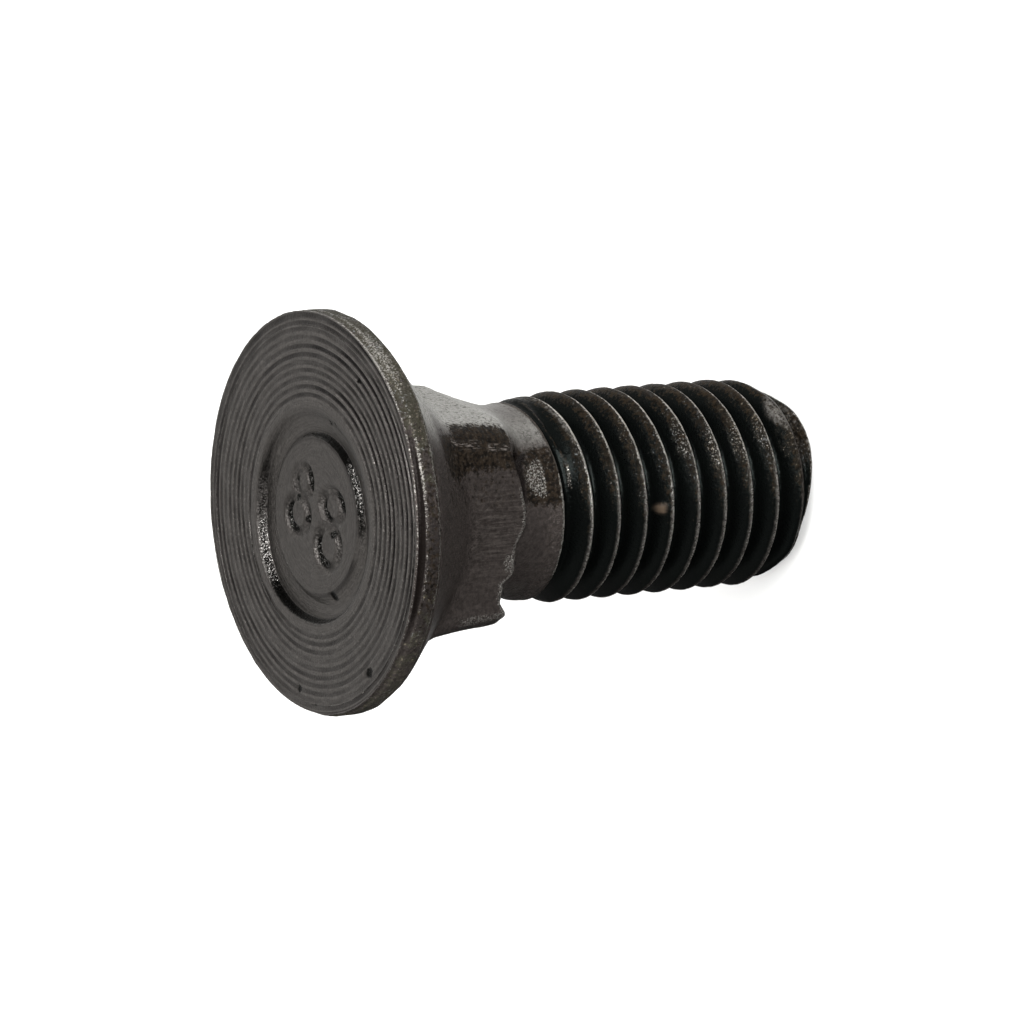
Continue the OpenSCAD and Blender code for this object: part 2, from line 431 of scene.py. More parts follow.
# Painted shade in the rim's shallow groove, deepest on the eye's side.
rim_dark = around([
    (-132, 0.15), (-114, 0.4), (-100, 0.8), (-90, 1), (-64, 1), (-54, 0.6), (-47, 0.15),
    (0, 0), (120, 0.1)], 2)
rim_front = around([
    (-140, 0.2), (-112, 0.22), (-98, 0.22), (-80, 0.32), (-62, 0.42), (-48, 0.4), (-40, 0.6),
    (-18, 0.6), (20, 0.4), (60, 0.3)], 2)
rim_bits = around([
    (-140, 0.12), (-104, 0.16), (-95, 0.24), (-84, 0.2), (-77, 0.26), (-70, 0.45), (-61, 0.5),
    (-55, 0.3), (-47, 0.15), (-30, 0.16), (-10, 0.3), (60, 0.2)], 2)
# Painted shade over the rim from its groove back, on the eye's side.
rim_shade = around([
    (-140, 0), (-118, 0.1), (-100, 0.5), (-86, 0.75), (-70, 0.45), (-58, 0.1), (-50, 0)], 2)
rim_dust = around([
    (-140, 0.7), (-120, 0.6), (-108, 0.5), (-94, 0.15), (-72, 0.15), (-60, 0.4), (-50, 0.85),
    (-10, 0.85), (20, 0.6), (90, 0.4)], 3)
rim_rough = around([
    (-140, 0.6), (-100, 0.2), (-72, 0.3), (-50, 0.8), (0, 1), (60, 0.8)], 3)
rim_film = 1 - 0.5 * beside(-20, 40) - 0.75 * beside(-130, 38)
rim_rubbed = 0.3 * beside(-26, 22)
rim_corner_deep = 0.98
# Depth, share of the way out from the face edge to the ridge, and how worn at the front edge,
# on the ridge and at the back edge, and how much painted shade lies in the groove.
rim_rows = (
    (0, -0.05, 0.2, 0, 0, 0), (0.006, 0, 0.8, 0, 0, 0), (0.03, 0.06, 1, 0, 0, 0),
    (0.07, 0.12, 0.6, 0, 0, 0.4), (0.11, 0.15, 0.1, 0, 0, 1), (0.16, 0.19, 0, 0, 0, 1),
    (0.21, 0.26, 0, 0, 0, 1), (0.26, 0.43, 0, 0, 0, 1), (0.3, 0.68, 0, 0.3, 0, 0.7),
    (0.34, 0.9, 0, 1, 0, 0), (0.4, 0.98, 0, 0.8, 0, 0), (0.5, 1, 0, 0.2, 0, 0),
    (0.68, 1, 0, 0.12, 0, 0), (0.86, 1, 0, 0.12, 0, 0), (0.97, 1, 0, 0.1, 0.4, 0),
    (1.04, 1, 0, 0.1, 1, 0), (1.1, 1, 0, 0, 0.4, 0), (1.16, 1, 0, 0, 0, 0))
for deep, outward, front, ridge, back, dark in rim_rows:
    turned_in = 0.9 * max(0, deep - rim_corner_deep)
    shaded = dark * rim_dark
    side_only = (deep > 0.1) * (1 - shaded)
    # Painted shade in the groove and over the rim.
    lay(face_edge_r + (ridge_r - face_edge_r) * outward - turned_in,
        deep + rim_wave * min(1, deep / 0.3),
        wear=(front * rim_front + ridge * rim_bits + back * (0.3 + 0.3 * rim_bits)
              + (0.02 < deep < 0.75) * rim_rubbed),
        oil=shaded, scale=rim_rough * (1 - 0.9 * shaded), brown=0.5 * side_only * rim_film,
        dust=rim_dust * side_only, groove=0.9 * rim_shade * (0.1 < deep < 1.0))


# Cone and square neck
# The underside of the head is a 90 degree cone that runs into a square neck with a soft
# fillet. The trimming die sheared the neck's flats, tore their free end and left a burr.
cone_point_deep = 10.43 - 0.25 * beside(15, 70)
neck_half = 4.9
neck_rows = 66
blend_width = 0.45
blend_trim = 0.02

# The long corners are rounded more where they wore or were trimmed, by angle and by depth.
corner_depths = (3, 4, 5, 6.1, 7.2, 7.8, 8.5)
corner_rounds = {
    -135: (0.5, 0.65, 0.95, 1.3, 1.55, 1.75, 2.2),
    -45: (1.1, 1.4, 1.6, 1.9, 2.4, 2.9, 3.2),
    45: (1.2, 1.3, 1.4, 1.5, 1.7, 1.9, 2.1),
    135: (0.9, 1, 1.1, 1.2, 1.3, 1.5, 1.7),
}


def neck_radius(deep):
    """Distance from the axis to the square neck's skin, column by column."""
    radius = np.zeros(columns)
    for corner, rounds in corner_rounds.items():
        off_turn = np.abs(turned_from(corner))
        mine = off_turn <= 45
        off = np.radians(off_turn)
        rounding = np.interp(deep, corner_depths, rounds)
        middle = neck_half - rounding
        flat = neck_half / np.cos(np.pi / 4 - off)
        reach = middle * math.sqrt(2) * np.cos(off)
        inside = np.maximum(reach ** 2 - (2 * middle ** 2 - rounding ** 2), 0)
        curved = reach + np.sqrt(inside)
        side = flat * np.sin(np.pi / 4 - off)
        radius = np.where(mine & (side <= middle), flat, np.where(mine, curved, radius))
    return radius


neck_start = 1.24
neck_end = around([
    (45, 7.6), (30, 7.4), (0, 7.4), (-20, 7.5), (-35, 7.6), (-45, 7.7), (-52, 7.6), (-59, 7.84),
    (-68, 8.1), (-79, 8.47), (-87, 8.5), (-93, 8.26), (-98, 8.03), (-105, 8.03), (-112, 8.06),
    (-115, 7.8), (-117, 7.35), (-119, 7.62), (-124, 7.46), (-126.5, 7.46), (-128.5, 7.84),
    (-131, 7.92), (-134, 7.86), (-137, 7.8), (-140, 7.8), (-150, 7.9), (-165, 8.05), (180, 8.1),
    (160, 8), (135, 7.9), (112, 8.12), (90, 8.1), (70, 7.9)], 1)
on_flats = sum(beside(side, 41) for side in (0, 90, 180, -90))
# The upper side is painted paler, a painted sheen where the steel would mirror the pale room;
# near the rim the sheen reaches further round.
pale_top = around([
    (-46, 0), (-41, 0.2), (-35, 0.9), (-30, 1), (10, 1), (45, 0.8), (75, 0)], 1)
pale_by_rim = around([
    (-56, 0), (-53, 0.08), (-50.5, 0.35), (-48, 0.6), (-42, 0.95), (-34, 1), (10, 1), (45, 0.8),
    (75, 0)], 1)
torn_edge = around([
    (-62, 0), (-72, 1), (-130, 1), (-150, 0.6), (120, 0.6), (60, 0.4), (40, 0)], 1)
# The burr stands up along one corner, with a slight hollow beside it.
lip_ridge = beside(-131, 4) * 0.09 - beside(-124.5, 4) * 0.07
for row in range(neck_rows):
    share = row / (neck_rows - 1)
    deep = neck_start + (neck_end - neck_start) * share
    cone_r = cone_point_deep - deep
    square_r = neck_radius(deep)
    gap = cone_r - square_r
    radius = (cone_r + square_r + np.sqrt(gap ** 2 + blend_width ** 2)) / 2 - blend_trim
    burr_grown = ease((deep - 4.6) / 1.2)
    radius += lip_ridge * burr_grown
    cut = ease((deep - 5) / 0.5)
    # Brown film on the corner that faces the eye, with a ragged border to the bare top.
    browned = np.maximum(1.06 * ease((deep - 4.1) / 0.5) * ease(1.35 * beside(-47.5, 19.5)),
                         spot(deep, 3.9, 1.6, -54, 15))
    browned = np.maximum(browned, 0.35 * beside(-66, 24) * ease((deep - 2.2) / 0.6))
    # Scratches on that corner, its bare line further down, and a painted highlight along a crease
    # in the flat beside it.
    scratched = (ease(2 * beside(-47.5, 2.6)) * ease((deep - 4) / 0.2)
                 * ease((6.1 - deep) / 0.5))
    corner_line = (ease(2 * beside(-48.6, 2.4)) * ease((deep - 6.2) / 0.2)
                   * ease((7.9 - deep) / 0.2))
    crease_deep = 3.61 + 0.11 * (turn + 69)
    creased = (ease(1 - np.abs(deep - crease_deep) / 0.09) * ease((-66 - turn) / 4)
               * ease((turn + 92) / 6))
    # Bare steel on the torn end, the chips in it and the burr, and a painted sheen that makes the
    # top pale.
    near_end = ease((share - 0.965) / 0.03) * torn_edge
    chipped = np.maximum(ease(1.6 * beside(-119, 8)) * ease((share - 0.93) / 0.05),
                         spot(deep, 7.7, 0.4, -107, 8) ** 2)
    bevel = ease(1.5 * beside(-131, 4)) * burr_grown
    pale_here = pale_top + (pale_by_rim - pale_top) * ease((3.1 - deep) / 0.9)
    lay(radius, deep, brown=browned,
        drag=0.8 * cut * on_flats * (1 - 0.8 * pale_top) + 2.4 * scratched + 2.2 * corner_line,
        pale=np.maximum(pale_here * ease((deep - 1.15) / 0.3),
                        np.maximum(0.7 * creased, 0.5 * corner_line)),
        wear=0.55 * near_end + 0.3 * bevel + 0.33 * chipped + 0.12 * corner_line,
        scale=((0.3 + 0.6 * pale_here) * (1 - 0.2 * np.minimum(browned, 1))
               + 0.5 * bevel + 0.4 * chipped))


# Plain shank
# The round body between neck and thread is bare rolled bar with a slight waist. On one side
# the neck runs out into it smoothly, on the others the neck ends in a torn step.
shank_stops = np.array([
    (8, 4.5), (9.9, 4.5), (10.3, 4.56), (10.55, 4.68), (11, 4.7), (11.72, 4.75), (12.1, 4.84),
    (12.5, 4.92), (13, 4.93), (25, 4.93)])


def shank_radius(deep):
    """Radius of the round body, which is also the thread's crest."""
    return np.interp(deep, shank_stops[:, 0], shank_stops[:, 1])


step_run = around([
    (60, 1.6), (45, 2.2), (20, 2.3), (0, 2.2), (-20, 2.1), (-35, 1.8), (-45, 1.3), (-53, 0.7),
    (-60, 0.35), (-68, 0.12), (-80, 0.06), (-110, 0.06), (-124, 0.02), (-130, -0.22),
    (-138, -0.2), (-145, 0.05), (-170, 0.15), (180, 0.2), (120, 0.3), (90, 0.4), (75, 0.9)], 2)
step_rows = 10
neck_end_r = rings[-1]["radius"]
foot_deep = neck_end + step_run
long_step = np.clip(step_run, 0, 1)
shank_brown = 1.1 * ease(1.9 * beside(-60, 26))
# The shank's upper side is painted paler as a painted sheen.
shank_pale = around([
    (-48, 0), (-42, 0.12), (-34, 0.6), (-26, 0.7), (-18, 0.42), (-8, 0.35), (10, 0.5),
    (45, 0.5), (75, 0)], 1)
# A band of the shank further round from the eye than the brown film is darker.
shank_grime = around([(-75, 0), (-88, 0.22), (-115, 0.2), (-126, 0.05), (-134, 0)], 1)
# Painted shadow of the step, on its torn face and on the shank just below it.
step_shade = around([(-42, 0), (-47, 1), (-66, 1), (-74, 0.6), (-82, 0)], 1)
for row in range(1, step_rows + 1):
    share = row / step_rows
    deep = neck_end + step_run * share
    fall = ease(share) * long_step + share * (1 - long_step)
    # The torn step's face darkens towards the shank, and the step's painted shadow lies on it.
    lay(neck_end_r + (shank_radius(foot_deep) - neck_end_r) * fall, deep,
        wear=0.5 * (1 - share) ** 4 * torn_edge,
        pale=(pale_top + (shank_pale - pale_top) * share) * (1 - 0.25 * ease(share)),
        oil=0.6 * share * torn_edge + 0.85 * step_shade * ease(2 * share),
        brown=shank_brown * (1 - 0.7 * step_shade), scale=0.4)

shank_end_deep = 10.05
shank_rows = 12
for row in range(1, shank_rows + 1):
    share = row / (shank_rows + 1)
    deep = foot_deep + (shank_end_deep - foot_deep) * share
    # A rubbed place, its brightness partly a painted highlight.
    rubbed = spot(deep, 9.8, 1.6, -61.5, 21) ** 3
    # The step's painted shadow on the first rows of the shank.
    shaded = step_shade * ease(1.9 - 4 * share)
    lay(shank_radius(deep), deep, brown=shank_brown * (1 - shaded), groove=shank_grime,
        pale=np.maximum((0.7 + 0.2 * share) * shank_pale, 0.06 * beside(-140, 16)),
        oil=0.95 * shaded, wear=0.34 * rubbed, scale=0.3 + 0.6 * beside(-45, 35))


# Rolled thread
# Ten millimetre coarse thread, rolled into the shank between dies. It is a right-hand helix
# with a 60 degree section, sharp towards the end and rounded towards the head.
pitch = 1.5
first_crest = 1.2175
full_crest_r = 4.93
thread_deep = 0.92
# Distance from the crest along the bolt, groove depth as a share, wear with a painted highlight
# at the crest, oil, dust.
section = np.array([
    (-0.75, 1, 0, 1, 0), (-0.65, 0.985, 0, 1, 0), (-0.56, 0.86, 0, 1, 0),
    (-0.36, 0.48, 0, 1, 0), (-0.17, 0.1, 0, 0.9, 0), (-0.13, 0.02, 1, 0, 0.1),
    (-0.08, 0, 0.9, 0.1, 0.3), (-0.03, 0.01, 0.25, 0.4, 0.9), (0.05, 0.04, 0.1, 0.6, 1),
    (0.14, 0.11, 0, 0.9, 0.9), (0.28, 0.29, 0, 1, 0.45), (0.42, 0.54, 0, 1, 0.08),
    (0.56, 0.84, 0, 1, 0), (0.65, 0.98, 0, 1, 0)])
section_rows = len(section)
thread_top = bolt_length - shank_end_deep
thread_foot = 0.12
groove_gone = 14.35
groove_full = 13.6
gone_blend = 0.3
# A low ridge that the dies left in the run-out groove, its depth from the head and its height.
ridge_deep = around([
    (20, 11.35), (0, 11.2), (-15, 11.1), (-28, 11.08), (-40, 11.2), (-47, 11.36), (-55, 11.42),
    (-80, 11.5), (-160, 11.5), (90, 11.5)], 1)
ridge_bits = around([(-74, 0), (-68, 0.3), (-57, 0.3), (-52, 0.08), (30, 0.08), (50, 0)], 1)
ridge_high = around([
    (60, 0), (20, 0.1), (0, 0.16), (-20, 0.22), (-45, 0.22), (-60, 0.14), (-78, 0)], 1)

# Radius of the end's edge, all round. A lip stands where the dies pushed steel over it.
end_r = around([
    (15, 4.3), (5, 4.17), (-5, 4.18), (-15, 4.24), (-25, 4.43), (-35, 4.61), (-45, 4.71),
    (-55, 4.72), (-65, 4.61), (-75, 4.41), (-85, 4.26), (-95, 4.12), (-105, 4.01), (-115, 4.07),
    (-125, 4.18), (-135, 4.22), (-145, 4.2), (-155, 4.23), (-165, 4.28), (175, 4.32),
    (120, 4.4), (70, 4.45), (40, 4.42)], 2)
end_taper = around([
    (40, 1.3), (20, 1.6), (-10, 1.6), (-25, 1.2), (-40, 0.95), (-120, 0.95), (-138, 1.5),
    (-165, 1.6), (170, 1.3), (120, 0.95), (70, 0.95)], 2)
end_round = 0.09
taper_soft = 0.05
lip_high = 0.5


def thread_skin(height, groove_share, groove_height):
    """Radius of the thread at a height, for a share of the groove's full depth."""
    crest = shank_radius(bolt_length - height) + 0.04 * beside(-160, 60)
    fade = ease((groove_gone - groove_height) / (groove_gone - groove_full))
    root = full_crest_r - thread_deep
    radius = crest - groove_share * (crest - root) * fade
    edge = end_r + end_round
    taper_r = edge + (full_crest_r - edge) * np.clip(height, 0, None) / end_taper
    radius += ridge_high * ease(1 - np.abs(bolt_length - height - ridge_deep) / 0.22)
    gap = radius - taper_r
    tapered = (radius + taper_r - np.sqrt(gap ** 2 + taper_soft ** 2)) / 2
    return edge + (tapered - edge) * ease((height - thread_foot) / lip_high)


dusty = around([
    (-125, 0), (-95, 0.1), (-78, 0.4), (-64, 0.8), (-32, 0.85), (-15, 0.45), (10, 0.35),
    (40, 0.2), (100, 0.2), (180, 0.1)], 3)
filmed = around([
    (-120, 0), (-85, 0.3), (-60, 0.8), (-20, 1), (30, 1), (80, 0.5), (180, 0.2)], 3)
# Wear on the crests, strongest on the eye's side, where it is partly a painted highlight.
crest_worn = around([
    (-150, 0.2), (-130, 0.5), (-112, 0.8), (-85, 0.85), (-60, 0.85), (-22, 0.9), (0, 0.3),
    (60, 0.5), (150, 0.4)], 3)
crest_grey = around([
    (-140, 0.1), (-122, 0.6), (-105, 1), (-80, 0.9), (-62, 0.5), (-45, 0.1), (-30, 0)], 3)
# A painted highlight along the crest where the shank ends, on the eye's side alone.
first_line = around([
    (-130, 0.2), (-112, 0.8), (-66, 0.8), (-58, 0.15), (-50, 0), (60, 0), (120, 0.3)], 1)
# Painted highlights, as clusters of bright specks on the crests: depth from the head face,
# angle, how strong.
crest_specks = (
    (13.4, -33, 0.5), (14.9, -38, 0.7), (16.35, -52, 0.5), (17.85, -45, 0.85), (19.5, -52, 1),
    (20.95, -47, 0.85), (22.4, -46, 0.8), (23.75, -48, 0.6), (24.6, -62, 0.6))
speck_half_deep, speck_half_turn = 0.52, 26
# Heights of the first whole crest under the shank, and of the crest that is still plain above.
grey_crest = 13.1
plain_crest = 13.8
# Places of the three kinds of steel in the list of the bolt's materials.
turned_face, forged_side, rolled_thread = 0, 1, 2
# Turns that go on past each end, where the skin's rings cut them off.
spare_turns = 2
helix_turns = int(math.ceil(thread_top / pitch)) + 2 * spare_turns
helix = []
for row in range(helix_turns * section_rows):
    whole, part = divmod(row, section_rows)
    away, groove_share, wear, oil, dust = section[part]
    crest_height = first_crest + pitch * (whole - spare_turns + turn / 360)
    height = crest_height + away
    deep = bolt_length - height
    groove_height = crest_height + (pitch / 2 if away > 0 else -pitch / 2)
    at_end = ease((0.95 - height) / 0.5) * beside(-30, 60)
    on_ridge = ease(1 - np.abs(deep - ridge_deep) / 0.12) * ease(ridge_high / 0.1)
    on_crest = ease(1.5 - np.abs(away - 0.02) / 0.09)
    gone = ease((groove_height - groove_gone + gone_blend / 2) / gone_blend)
    first_grey = (ease(1.4 - np.abs(crest_height - grey_crest) / 0.3) * beside(-22, 55)
                  * max(0, 1 - abs(away - 0.06) / 0.16))
    # The first turn's upper side is still the plain shank.
    on_first = ease((crest_height - plain_crest) / 0.15)
    on_shank = on_first if away > -0.06 else 0 * turn
    dust = dust * (1 - on_shank)
    specked = 0 * turn
    if -0.1 < away < 0.45:
        for speck_deep, speck_turn, strong in crest_specks:
            cluster = spot(deep, speck_deep, speck_half_deep, speck_turn, speck_half_turn)
            specked = np.maximum(specked, strong * cluster ** 2)
    # A rubbed place by the lip of the end, and crests that are duller towards the end.
    facet = spot(deep, 24.2, 1.0, -30, 22)
    dulled = ((1 - 0.75 * ease((1.75 - crest_height) / 0.5))
              * (1 - 0.3 * ease((deep - 15) / 6)))
    # Crest wear with its painted highlight.
    worn_crest = wear * crest_worn * dulled * (1 - on_first * (1 - first_line))
    greyed = np.maximum(0.4 * on_crest * crest_grey, 0.75 * first_grey) + 0.75 * facet
    # The crests' painted highlights go in through the wear and dust masks.
    helix.append({
        "radius": thread_skin(height, groove_share, groove_height), "height": height,
        "wear": np.maximum(worn_crest + ridge_bits * on_ridge, 0.19 * specked),
        "oil": (oil * (1 - gone) * (1 - 0.9 * first_grey) * (1 - 0.5 * on_ridge)
                * (1 - 0.8 * at_end) * (1 - 0.9 * facet)),
        "dust": (1 - 0.3 * facet) * np.maximum.reduce(
            [dust * dusty * 0.7, 0.8 * at_end, 0.9 * specked, 0.35 * on_ridge]),
        "brown": (1 - 0.45 * facet - 0.6 * first_grey) * np.maximum.reduce(
            [dust * filmed, at_end, 0.6 * on_ridge, on_shank * shank_brown]),
        "lint": spot(deep, 16.27, 0.26, -85.4, 4.2) if away > 0.2 else 0 * turn,
        "scale": 0.05 + 0.6 * np.maximum.reduce([dust * dusty, at_end, on_shank]),
        "pale": greyed * (1 - on_shank) + 0.87 * on_shank * shank_pale,
        "finish": np.where(np.maximum(on_shank, gone) > 0.5, forged_side, rolled_thread)})


# End of the bolt
# The free end is the cut face of the bar. The rolling dies rounded its edge and drew the
# middle in a little.
end_finish = {"oil": 0.1, "brown": 0.9, "dust": 0.4, "scale": 0.8}
# How far in from the edge, height, and wear.
end_rounding = ((0.03, 0.05, 0.35), (0.09, 0.012, 0.35), (0.2, 0, 0.2))
end_dish = 0.14
end_rows = 12


def groove_share_at(away):
    """Share of the groove's depth at any distance from a crest."""
    away = (away + pitch / 2) % pitch - pitch / 2
    return np.interp(away, section[:, 0], section[:, 1], period=pitch)


foot_away = thread_foot - first_crest - pitch * turn / 360
end_edge_r = thread_skin(thread_foot, groove_share_at(foot_away), 0)
foot_rings = [(end_edge_r, thread_foot, 0.3)]
for shrink, height, wear in end_rounding:
    foot_rings.append((end_edge_r - shrink, height, wear))
flat_r = end_edge_r - end_rounding[-1][0]
for row in range(1, end_rows):
    share = 1 - row / end_rows
    foot_rings.append((flat_r * share, end_dish * ease(1.6 * (1 - share)), 0.05))


# Skin of the bolt
# All the rings are sewn into one closed skin, because the bolt is one piece of steel. Small
# dents and roughness from forging and handling go on last.
places = []
values = {name: [] for name in finishes}


def add_ring(radius, height, finish):
    """Puts one ring of points in the skin and returns the number of its first point."""
    start = sum(len(p) for p in places)
    places.append(np.stack([radius * turn_cos, radius * turn_sin, height + 0 * turn], 1))
    for name in finishes:
        values[name].append(finish.get(name, 0) + 0 * turn)
    return start


# The rim sits a little off the bolt's axis.
rim_shift = 0.09
rim_shift_turn = 15
shift_x = math.cos(math.radians(rim_shift_turn))
shift_y = math.sin(math.radians(rim_shift_turn))
ring_starts = []
for ring in rings:
    ring_starts.append(add_ring(ring["radius"], ring["height"], ring))
    deep = bolt_length - ring["height"]
    out = ease((ring["radius"] - 9) / 0.2) * ease((1.6 - deep) / 0.5)
    places[-1][:, 0] += rim_shift * shift_x * out
    places[-1][:, 1] += rim_shift * shift_y * out

top_finish = {"brown": shank_brown, "scale": 0.5, "pale": 0.6 * shank_pale}
top_start = add_ring(shank_radius(shank_end_deep), thread_top, top_finish)
ring_starts.append(top_start)
end_starts = []
for radius, height, wear in foot_rings:
    end_starts.append(add_ring(radius, height, {**end_finish, "wear": wear}))

# Points of the helix that would lie past its ends fall together with the rings there.
seam = 0.02
helix_heights = np.array([h["height"] for h in helix])
on_helix = (helix_heights > thread_foot + seam) & (helix_heights < thread_top - seam)
helix_numbers = np.where(helix_heights <= thread_foot + seam,
                         end_starts[0] + np.arange(columns)[None, :],
                         top_start + np.arange(columns)[None, :])
count = sum(len(p) for p in places)
helix_numbers[on_helix] = count + np.arange(on_helix.sum())
helix_radii = np.array([h["radius"] for h in helix])
cos_grid = np.broadcast_to(turn_cos, helix_radii.shape)[on_helix]
sin_grid = np.broadcast_to(turn_sin, helix_radii.shape)[on_helix]
places.append(np.stack([helix_radii[on_helix] * cos_grid, helix_radii[on_helix] * sin_grid,
                        helix_heights[on_helix]], 1))
for name in finishes:
    values[name].append(np.array([h.get(name, 0 * turn) for h in helix])[on_helix])

face_middle = sum(len(p) for p in places)
places.append(np.array([[0, 0, bolt_length - pad_deep], [0, 0, end_dish]]))
for name in finishes:
    values[name].append(np.zeros(2))

faces = []
face_finish = []


def sew(upper, lower, finish):
    """Joins two rows of point numbers with faces that look outwards."""
    finish = np.broadcast_to(finish, len(upper) - 1)
    for a, b, c, d, one in zip(upper[:-1], upper[1:], lower[1:], lower[:-1], finish):
        corners = [a, d, c, b]
        tidy = [n for i, n in enumerate(corners) if n != corners[i - 1]]
        if len(set(tidy)) >= 3:
            faces.append(tidy)
            face_finish.append(int(one))


def closed(start):
    """Point numbers of one ring, with the first again at its end."""
    return list(range(start, start + columns)) + [start]


first_ring = closed(ring_starts[0])
for a, b in zip(first_ring[:-1], first_ring[1:]):
    faces.append([face_middle, a, b])
    face_finish.append(turned_face)
for number, (upper, lower) in enumerate(zip(ring_starts[:-1], ring_starts[1:])):
    sew(closed(upper), closed(lower), turned_face if number < face_rings else forged_side)

for row in range(len(helix) - section_rows - 1):
    lower = list(helix_numbers[row]) + [helix_numbers[row + section_rows][0]]
    upper = list(helix_numbers[row + 1]) + [helix_numbers[row + 1 + section_rows][0]]
    sew(upper, lower, helix[row]["finish"])
for upper, lower in zip(end_starts[:-1], end_starts[1:]):
    sew(closed(upper), closed(lower), rolled_thread)
last_ring = closed(end_starts[-1])
for a, b in zip(last_ring[:-1], last_ring[1:]):
    faces.append([face_middle + 1, b, a])
    face_finish.append(rolled_thread)

places = np.concatenate(places)
values = {name: np.concatenate(value) for name, value in values.items()}

bolt_mesh = bpy.data.meshes.new("bolt_skin")
bolt_mesh.from_pydata([tuple(p) for p in places * MM], [], faces)
normals = np.zeros(len(places) * 3)
bolt_mesh.vertex_normals.foreach_get("vector", normals)
normals = normals.reshape(-1, 3)


def roughness_at(points, size, shift):
    """Smooth noise of about one size, at each point."""
    return np.array([noise.noise(Vector(p) / size + Vector((shift, 0, 0))) for p in points])


depth_at = bolt_length - places[:, 2]
radius_at = np.hypot(places[:, 0], places[:, 1])
on_face = (depth_at < 0.55) & (radius_at < 9.1)
on_rim = (depth_at < 1.25) & ~on_face
on_thread = places[:, 2] < thread_top - 0.05
# Height of the unevenness on the face, the rim and the thread, and on the neck and shank.
zones = (on_face, on_rim, on_thread)
coarse_high = np.select(zones, (0.005, 0.03, 0.014), 0.02)
fine_high = np.select(zones, (0.003, 0.02, 0.012), 0.01)
drag_high = 0.02
# The bit of lint in the thread is a low lump.
lint_high = 0.12
widest = 9.447
push = coarse_high * roughness_at(places, 0.9, 3.1) + fine_high * roughness_at(places, 0.28, 17.7)
drag = roughness_at(places * np.array([1, 1, 0.12]), 0.22, 41.3)
push += drag_high * drag * np.minimum(values["drag"], 1)
push += lint_high * values["lint"]
moved = places + normals * push[:, None]
moved[:, :2] = np.clip(moved[:, :2], -widest, widest)
moved[:, 2] = np.clip(moved[:, 2], 0, bolt_length)
bolt_mesh.vertices.foreach_set("co", (moved * MM).ravel())
for name in finishes:
    mask = bolt_mesh.attributes.new(name, "FLOAT", "POINT")
    mask.data.foreach_set("value", values[name].astype(np.float32))
bolt_mesh.polygons.foreach_set("use_smooth", [True] * len(faces))
bolt_mesh.polygons.foreach_set("material_index", face_finish)
bolt_mesh.update()


# Finish of the steel
# Black oxide on steel: nearly black and satin, worn to grey on edges and crests, with brown
# film where it rubbed through, dust on the upper crests, and oil left in the thread. The same
# layers also paint shade into recesses and onto walls, and highlights and a paler sheen onto
# crests, lips and the upper side.
def vector_calc(tree, kind, one, two):
    """A math node of two vectors."""
    return add(tree, "ShaderNodeVectorMath", {"operation": kind}, _0=one, _1=two).outputs[0]


def colour_mix(tree, share, one, two):
    """Two colours mixed by a share."""
    mixer = add(tree, "ShaderNodeMix", {"data_type": "RGBA"}, Factor=share)
    for socket, value in zip([i for i in mixer.inputs if i.type == "RGBA"], (one, two)):
        if isinstance(value, bpy.types.NodeSocket):
            tree.links.new(value, socket)
        else:
            socket.default_value = (*value, 1)
    return [o for o in mixer.outputs if o.type == "RGBA"][0]


def new_group(name, inputs, outputs):
    """An empty shader node group with named sockets."""
    group = bpy.data.node_groups.new(name, "ShaderNodeTree")
    for label, kind in inputs:
        group.interface.new_socket(label, in_out="INPUT", socket_type="NodeSocket" + kind)
    for label, kind in outputs:
        group.interface.new_socket(label, in_out="OUTPUT", socket_type="NodeSocket" + kind)
    given = group.nodes.new("NodeGroupInput").outputs
    made = group.nodes.new("NodeGroupOutput").inputs
    return group, given, made


def noise_at(tree, place, scale, detail=3.0, rough=0.6):
    """Noise of so many waves a millimetre."""
    return add(tree, "ShaderNodeTexNoise", Vector=place, Scale=scale, Detail=detail,
               Roughness=rough).outputs["Fac"]


# Fine uneven surface of steel: a tone that wanders, a height for the bump, flecks and pits.
steel_grain, given, made = new_group(
    "steel_grain", [("Place", "Vector"), ("Fineness", "Float")],
    [("Tone", "Float"), ("Height", "Float"), ("Flecks", "Float"), ("Pits", "Float")])
fleck_shift = (7.3, 2.1, 9.9)
fine_scale = calc(steel_grain, "MULTIPLY", given["Fineness"], 1.7, False)
fleck_place = vector_calc(steel_grain, "ADD", given["Place"], fleck_shift)
# Output, where its noise lies, how fine, detail, roughness, and the range that is spread.
for label, at, waves, detail, rough, low, high in (
        ("Tone", given["Place"], given["Fineness"], 5.0, 0.7, 0.32, 0.68),
        ("Height", given["Place"], fine_scale, 3.0, 0.6, 0.3, 0.7),
        ("Flecks", fleck_place, fine_scale, 4.0, 0.65, 0.54, 0.72),
        ("Pits", fleck_place, fine_scale, 3.0, 0.6, 0.46, 0.37)):
    grain_noise = noise_at(steel_grain, at, waves, detail, rough)
    steel_grain.links.new(remap(steel_grain, grain_noise, low, high), made[label])

# A mask broken up into patches, for wear, oil, brown film and dust alike.
patchy, given, made = new_group(
    "patchy_film",
    [("Mask", "Float"), ("Place", "Vector"), ("Size", "Float"), ("Breakup", "Float")],
    [("Mask", "Float")])
cloud = noise_at(patchy, given["Place"], given["Size"], 5.0, 0.7)
swing = calc(patchy, "SUBTRACT", cloud, 0.5, False)
swing = calc(patchy, "MULTIPLY", swing, given["Breakup"], False)
swing = calc(patchy, "MULTIPLY", swing, calc(patchy, "MULTIPLY", given["Mask"], 4.0), False)
broken = calc(patchy, "ADD", given["Mask"], swing, False)
patchy.links.new(remap(patchy, broken, 0.3, 0.75), made["Mask"])

